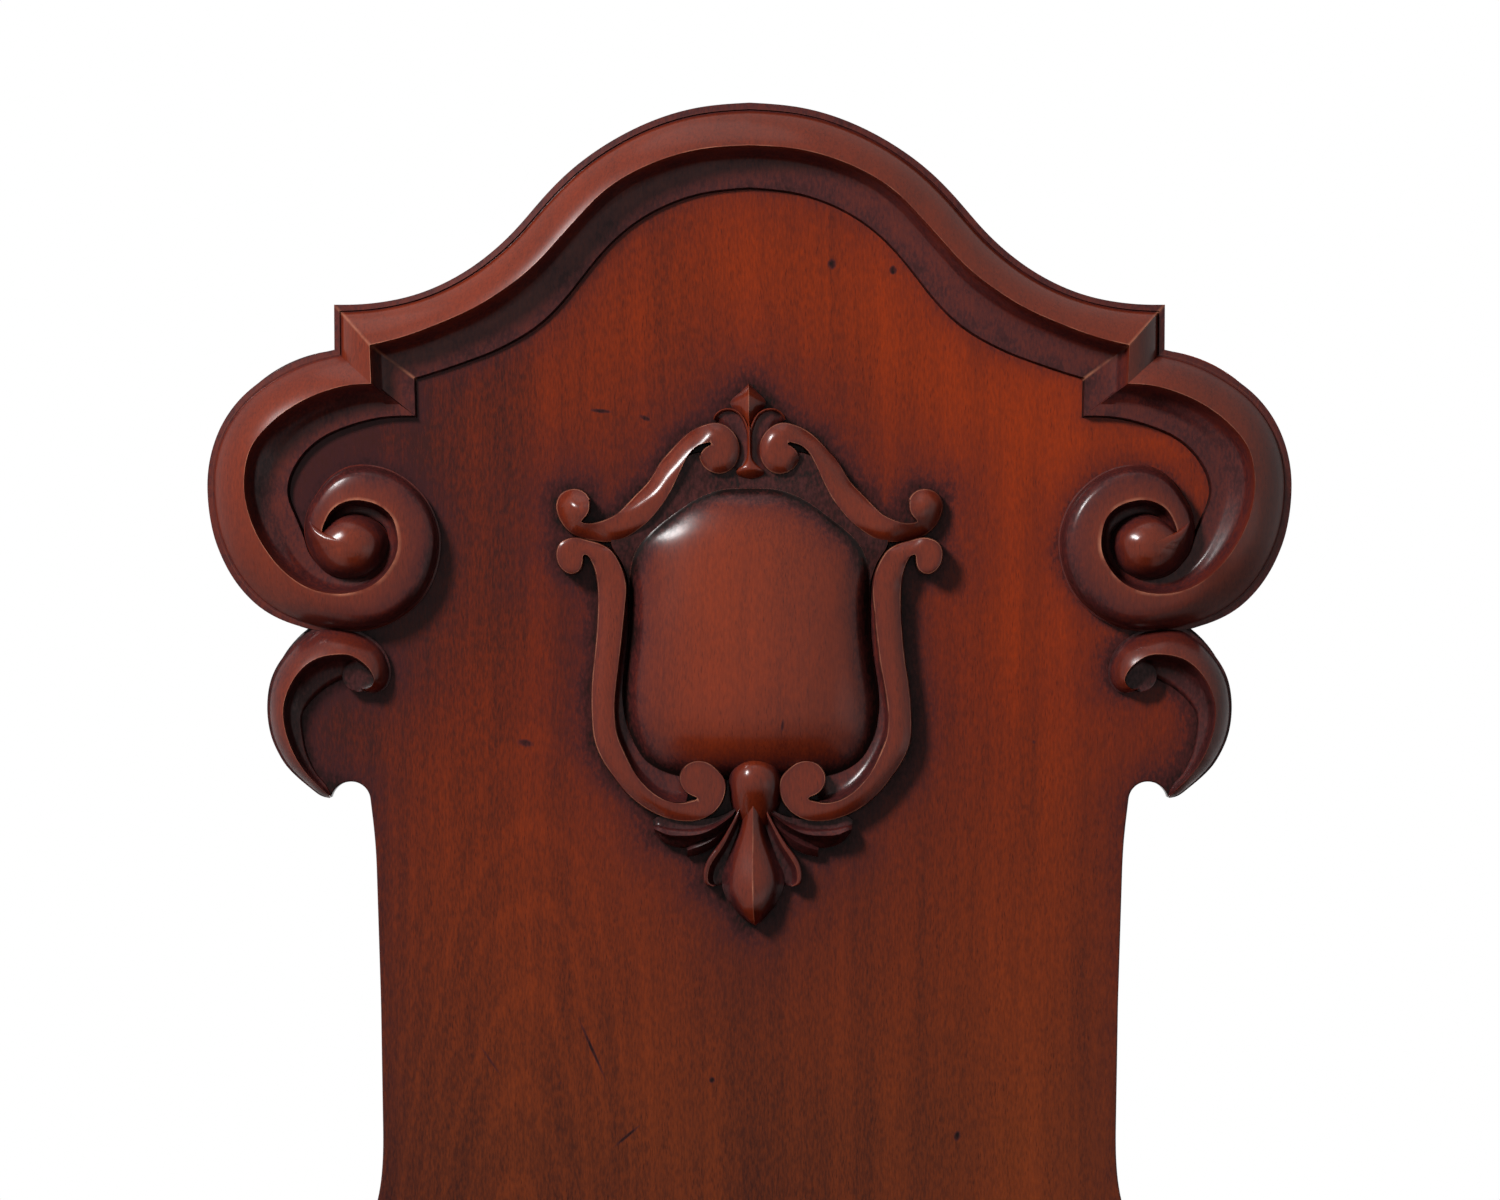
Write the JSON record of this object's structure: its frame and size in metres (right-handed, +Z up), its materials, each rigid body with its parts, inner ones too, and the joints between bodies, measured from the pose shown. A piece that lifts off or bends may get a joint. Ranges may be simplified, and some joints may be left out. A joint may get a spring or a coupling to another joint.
{
  "type": "hall chair",
  "caption": "Carved wooden hall chair: a shaped solid back with a crest moulding, volutes and a bare shield, above a plain wooden seat on turned front legs and swept back legs.",
  "frame": {"origin": "on the floor, under the centre of the chair's overall box", "axes": "+X to the right as one looks at the front of the chair, +Y towards the back, +Z up"},
  "size_m": [0.4372, 0.4199, 0.9176],
  "materials": {
    "back_mahogany": "french polished mahogany, semi-gloss, worn",
    "carved_mahogany": "french polished carved mahogany, dark wax in the hollows",
    "seat_mahogany": "french polished mahogany, semi-gloss, worn",
    "frame_mahogany": "french polished mahogany, semi-gloss",
    "block_pine": "sawn and planed, unpolished",
    "peg_oak": "cleft, polished over at the ends",
    "screw_steel": "dull, darkened with age"
  },
  "bodies": {
    "root": {"back_board": "back_mahogany", "crest_moulding": "carved_mahogany", "left_volute": "carved_mahogany", "right_volute": "carved_mahogany", "left_leaf_scroll": "carved_mahogany", "right_leaf_scroll": "carved_mahogany", "left_upper_scroll": "carved_mahogany", "right_upper_scroll": "carved_mahogany", "left_lower_scroll": "carved_mahogany", "right_lower_scroll": "carved_mahogany", "bud": "carved_mahogany", "leaf_drop": "carved_mahogany", "shield": "carved_mahogany", "seat_board": "seat_mahogany", "front_rail": "frame_mahogany", "back_rail": "frame_mahogany", "left_side_rail": "frame_mahogany", "right_side_rail": "frame_mahogany", "left_front_leg": "frame_mahogany", "right_front_leg": "frame_mahogany", "left_back_leg": "frame_mahogany", "right_back_leg": "frame_mahogany", "left_front_corner_block": "block_pine", "right_front_corner_block": "block_pine", "left_back_corner_block": "block_pine", "right_back_corner_block": "block_pine", "glue_blocks": "block_pine", "back_pegs": "peg_oak", "corner_screws": "screw_steel", "seat_screws": "screw_steel"}
  },
  "joints": []
}
